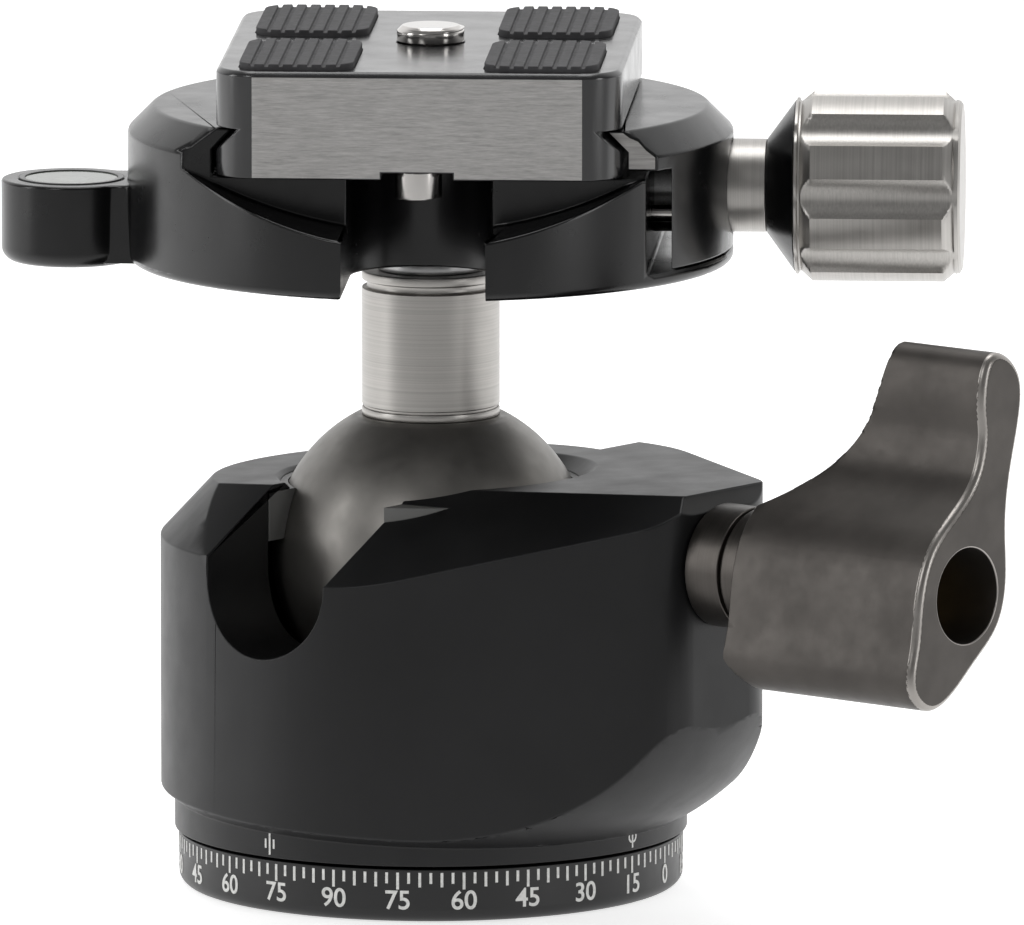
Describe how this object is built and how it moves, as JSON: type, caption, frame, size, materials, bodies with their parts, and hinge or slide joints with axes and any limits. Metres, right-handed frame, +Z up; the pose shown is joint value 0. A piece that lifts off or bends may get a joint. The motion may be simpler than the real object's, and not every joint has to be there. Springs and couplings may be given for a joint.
{
  "type": "tripod ball head",
  "caption": "Tripod ball head with panning base and degree scale, drop notch, wing lock knob and a dovetail clamp holding a camera plate.",
  "frame": {"origin": "centre of the foot's underside, on the pan axis, at the mouth of the tripod thread", "axes": "+Z up along the pan axis, +X along the clamp screw towards its knob at rest, +Y towards the back, away from the drop notch side"},
  "size_m": [0.0972, 0.08, 0.0816],
  "materials": {
    "black_anodised": "satin black anodised, fine blasted grain",
    "gloss_black": "smooth semi-gloss black anodised",
    "plate_black": "black anodised with a brushed bare front end",
    "bare_aluminium": "turned, bare",
    "satin_silver": "satin silver anodised, turned",
    "gunmetal_ball": "satin hard anodised, gunmetal",
    "bronze_anodised": "satin bronze-grey anodised, bright cut edge",
    "steel": "turned steel",
    "chrome": "polished stainless steel",
    "brass": "turned brass",
    "white_plastic": "slippery engineering plastic",
    "rubber": "matte black rubber, ribbed",
    "level_rim": "dark plastic rim",
    "level_glass": "clear vial with pale fluid",
    "level_air": "air bubble"
  },
  "bodies": {
    "base": {"panning_base": "black_anodised", "thrust_washer": "white_plastic", "retaining_ring": "steel", "retaining_screws": "steel"},
    "housing": {"housing": "black_anodised", "bottom_cover": "black_anodised", "seat_carrier": "bare_aluminium", "upper_seat_ring": "white_plastic", "lock_bush": "brass"},
    "brake_shoe": {"brake_shoe": "white_plastic"},
    "lock_knob": {"lock_spindle": "steel", "lock_collar": "bronze_anodised", "lock_knob": "bronze_anodised", "friction_spring": "steel"},
    "friction_screw": {"friction_screw": "brass"},
    "pan_shoe": {"pan_shoe": "white_plastic"},
    "pan_knob": {"pan_screw": "steel", "pan_knob": "bronze_anodised"},
    "ball_cup": {"ball_cup": "white_plastic"},
    "ball": {"ball": "gunmetal_ball"},
    "stem": {"stem": "satin_silver", "spacer_washer": "steel", "clamp_base": "gloss_black", "fixing_screw": "steel", "return_spring": "steel", "level_bezel": "level_rim", "level_vial": "level_glass", "level_bubble": "level_air"},
    "jaw": {"moving_jaw": "gloss_black", "guide_pins": "steel"},
    "clamp_knob": {"clamp_screw": "satin_silver", "knob_cone": "gloss_black", "clamp_knob": "satin_silver"},
    "plate": {"camera_plate": "plate_black", "rubber_pads": "rubber", "screw_clip": "steel", "stop_pins": "chrome"},
    "camera_screw": {"camera_screw": "chrome"}
  },
  "joints": [
    {"name": "pan", "type": "hinge", "parent": "base", "child": "housing", "pos_m": [0, 0, 0.005], "axis": [0, 0, 1], "continuous": true},
    {"name": "lock_press", "type": "slide", "parent": "housing", "child": "brake_shoe", "axis": [0.809, -0.5878, 0], "range_m": [0, 0.000625]},
    {"name": "lock_turn", "type": "hinge", "parent": "brake_shoe", "child": "lock_knob", "pos_m": [0.03236, -0.02351, 0.0338], "axis": [0.809, -0.5878, 0], "range_deg": [0, 180]},
    {"name": "friction_turn", "type": "hinge", "parent": "lock_knob", "child": "friction_screw", "pos_m": [0.0445, -0.03233, 0.0338], "axis": [0.809, -0.5878, 0], "range_deg": [-180, 180]},
    {"name": "pan_press", "type": "slide", "parent": "housing", "child": "pan_shoe", "axis": [-0.1045, 0.9945, 0], "range_m": [0, 0.0004]},
    {"name": "pan_lock_turn", "type": "hinge", "parent": "pan_shoe", "child": "pan_knob", "pos_m": [-0.00293, 0.02785, 0.0092], "axis": [-0.1045, 0.9945, 0], "range_deg": [0, 180]},
    {"name": "side_tilt", "type": "hinge", "parent": "housing", "child": "ball_cup", "pos_m": [0, 0, 0.0314], "axis": [-0.5878, -0.809, 0], "range_deg": [-25, 25]},
    {"name": "notch_tilt", "type": "hinge", "parent": "ball_cup", "child": "ball", "pos_m": [0, 0, 0.0314], "axis": [0.809, -0.5878, 0], "range_deg": [-25, 90]},
    {"name": "stem_spin", "type": "hinge", "parent": "ball", "child": "stem", "pos_m": [0, 0, 0.0314], "axis": [0, 0, 1], "continuous": true},
    {"name": "jaw_slide", "type": "slide", "parent": "stem", "child": "jaw", "axis": [1, 0, 0], "range_m": [0, 0.004]},
    {"name": "clamp_knob_turn", "type": "hinge", "parent": "jaw", "child": "clamp_knob", "pos_m": [0.035, 0, 0.0666], "axis": [1, 0, 0], "range_deg": [0, 1440]},
    {"name": "plate_slide", "type": "slide", "parent": "stem", "child": "plate", "axis": [0, 1, 0], "range_m": [-0.011, 0.011]},
    {"name": "camera_screw_turn", "type": "hinge", "parent": "plate", "child": "camera_screw", "pos_m": [0, 0, 0.075], "axis": [0, 0, 1], "continuous": true}
  ],
  "couplings": [
    {"joint": "lock_turn", "follows": "lock_press", "rad_per_m": 5026.5},
    {"joint": "pan_lock_turn", "follows": "pan_press", "rad_per_m": 7853.9},
    {"joint": "clamp_knob_turn", "follows": "jaw_slide", "rad_per_m": 6283.2}
  ]
}
